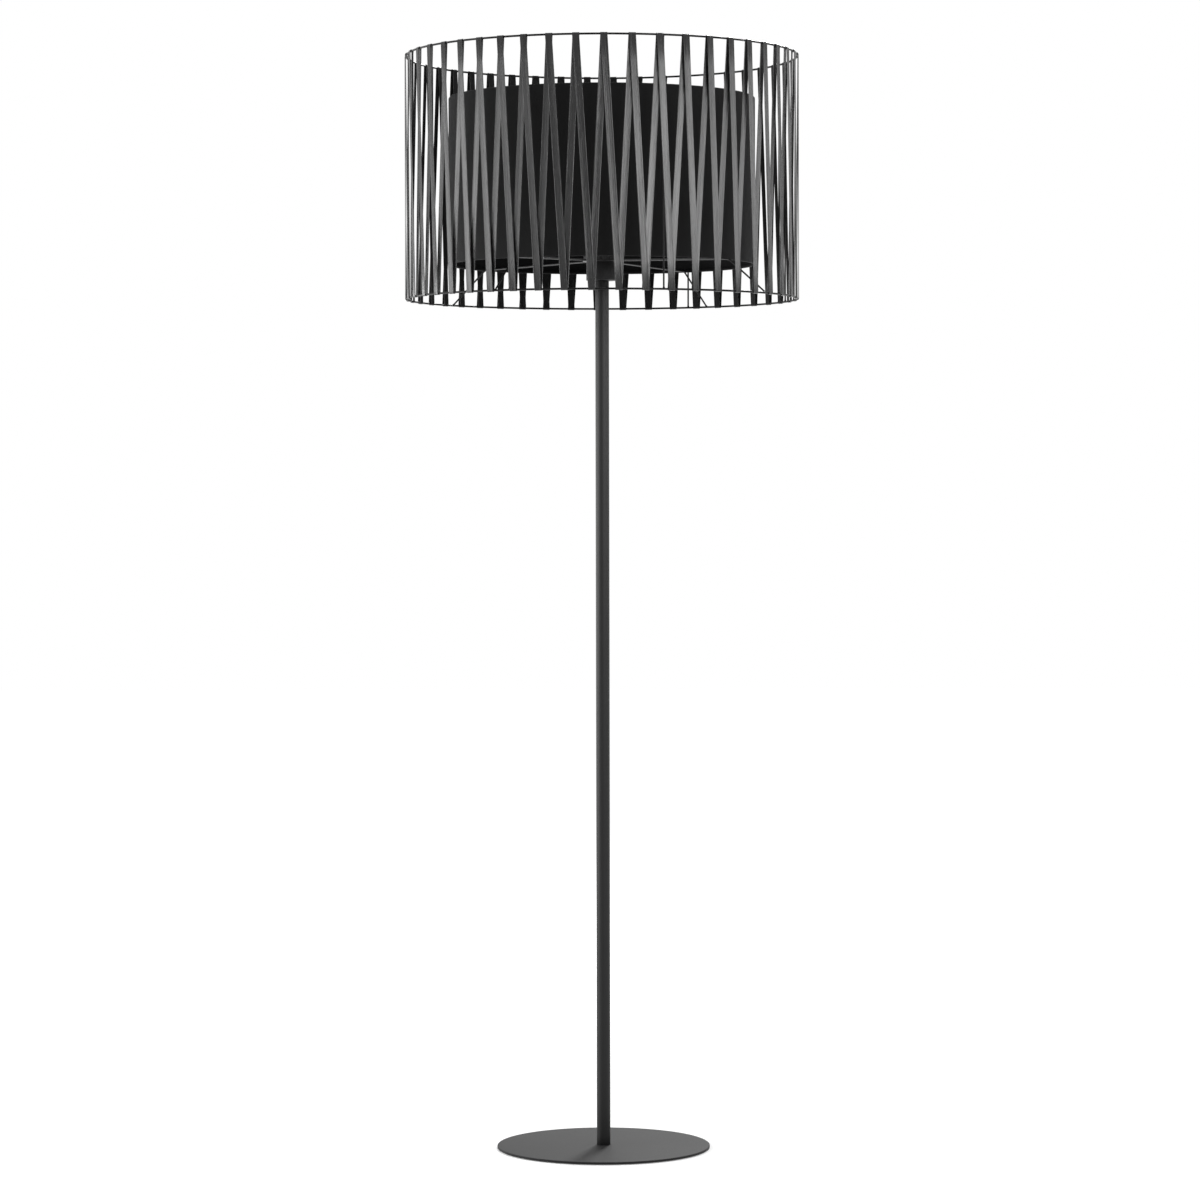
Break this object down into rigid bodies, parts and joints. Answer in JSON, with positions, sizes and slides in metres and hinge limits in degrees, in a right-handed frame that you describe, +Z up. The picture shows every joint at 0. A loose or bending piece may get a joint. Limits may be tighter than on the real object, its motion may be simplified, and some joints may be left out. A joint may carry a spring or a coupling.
{
  "type": "floor lamp",
  "caption": "Floor lamp: slim pole on a round plate, with a fabric drum shade inside a round wire cage laced with flat strap.",
  "frame": {"origin": "on the floor under the pole's axis, at the middle of the lamp's bounding box", "axes": "+Z up the pole; -Y is the side towards the camera, +X to its right"},
  "size_m": [0.5752, 0.5752, 1.6],
  "materials": {
    "plate_coat": "fine-textured black powder coat, satin",
    "pole_coat": "dark powder coat, satin",
    "cup_coat": "dark powder coat, satin",
    "cage_coat": "black powder coat, satin",
    "felt": "pressed felt",
    "grommet_rubber": "matte",
    "lead_sheath": "matte",
    "holder_plastic": "moulded, matte",
    "socket_brass": "pressed sheet",
    "shade_fabric": "fine plain weave on a stiff liner",
    "strap": "flat strap with a satin sheen and fine lengthwise lines"
  },
  "bodies": {
    "stand": {"base_plate": "plate_coat", "base_stud": "plate_coat", "base_felt": "felt", "pole": "pole_coat", "cord_grommet": "grommet_rubber", "pole_lead": "lead_sheath", "holder_cup": "cup_coat", "holder_body": "holder_plastic", "socket_shell": "socket_brass", "centre_contact": "socket_brass"},
    "shade": {"fitter_ring": "cage_coat", "drum_lower_ring": "cage_coat", "drum_upper_ring": "cage_coat", "drum_shell": "shade_fabric", "cage_lower_ring": "cage_coat", "cage_upper_ring": "cage_coat", "spider_arm_1": "cage_coat", "spider_arm_2": "cage_coat", "spider_arm_3": "cage_coat", "spider_arm_4": "cage_coat", "cage_strut_1": "cage_coat", "cage_strut_2": "cage_coat", "cage_strut_3": "cage_coat", "cage_strut_4": "cage_coat", "cage_upright_1": "cage_coat", "cage_upright_2": "cage_coat", "cage_upright_3": "cage_coat", "cage_upright_4": "cage_coat", "cage_upright_5": "cage_coat", "cage_upright_6": "cage_coat", "cage_upright_7": "cage_coat", "cage_upright_8": "cage_coat", "strap_length_1": "strap", "strap_length_2": "strap", "strap_length_3": "strap", "strap_length_4": "strap", "strap_length_5": "strap", "strap_length_6": "strap", "strap_length_7": "strap", "strap_length_8": "strap"},
    "clamp": {"clamp_ring": "holder_plastic"}
  },
  "joints": [
    {"name": "shade_turn", "type": "hinge", "parent": "stand", "child": "shade", "pos_m": [0, 0, 1.3006], "axis": [0, 0, 1], "continuous": true},
    {"name": "clamp_ring_turn", "type": "hinge", "parent": "stand", "child": "clamp", "pos_m": [0, 0, 1.305], "axis": [0, 0, 1], "range_deg": [0, 360]}
  ]
}
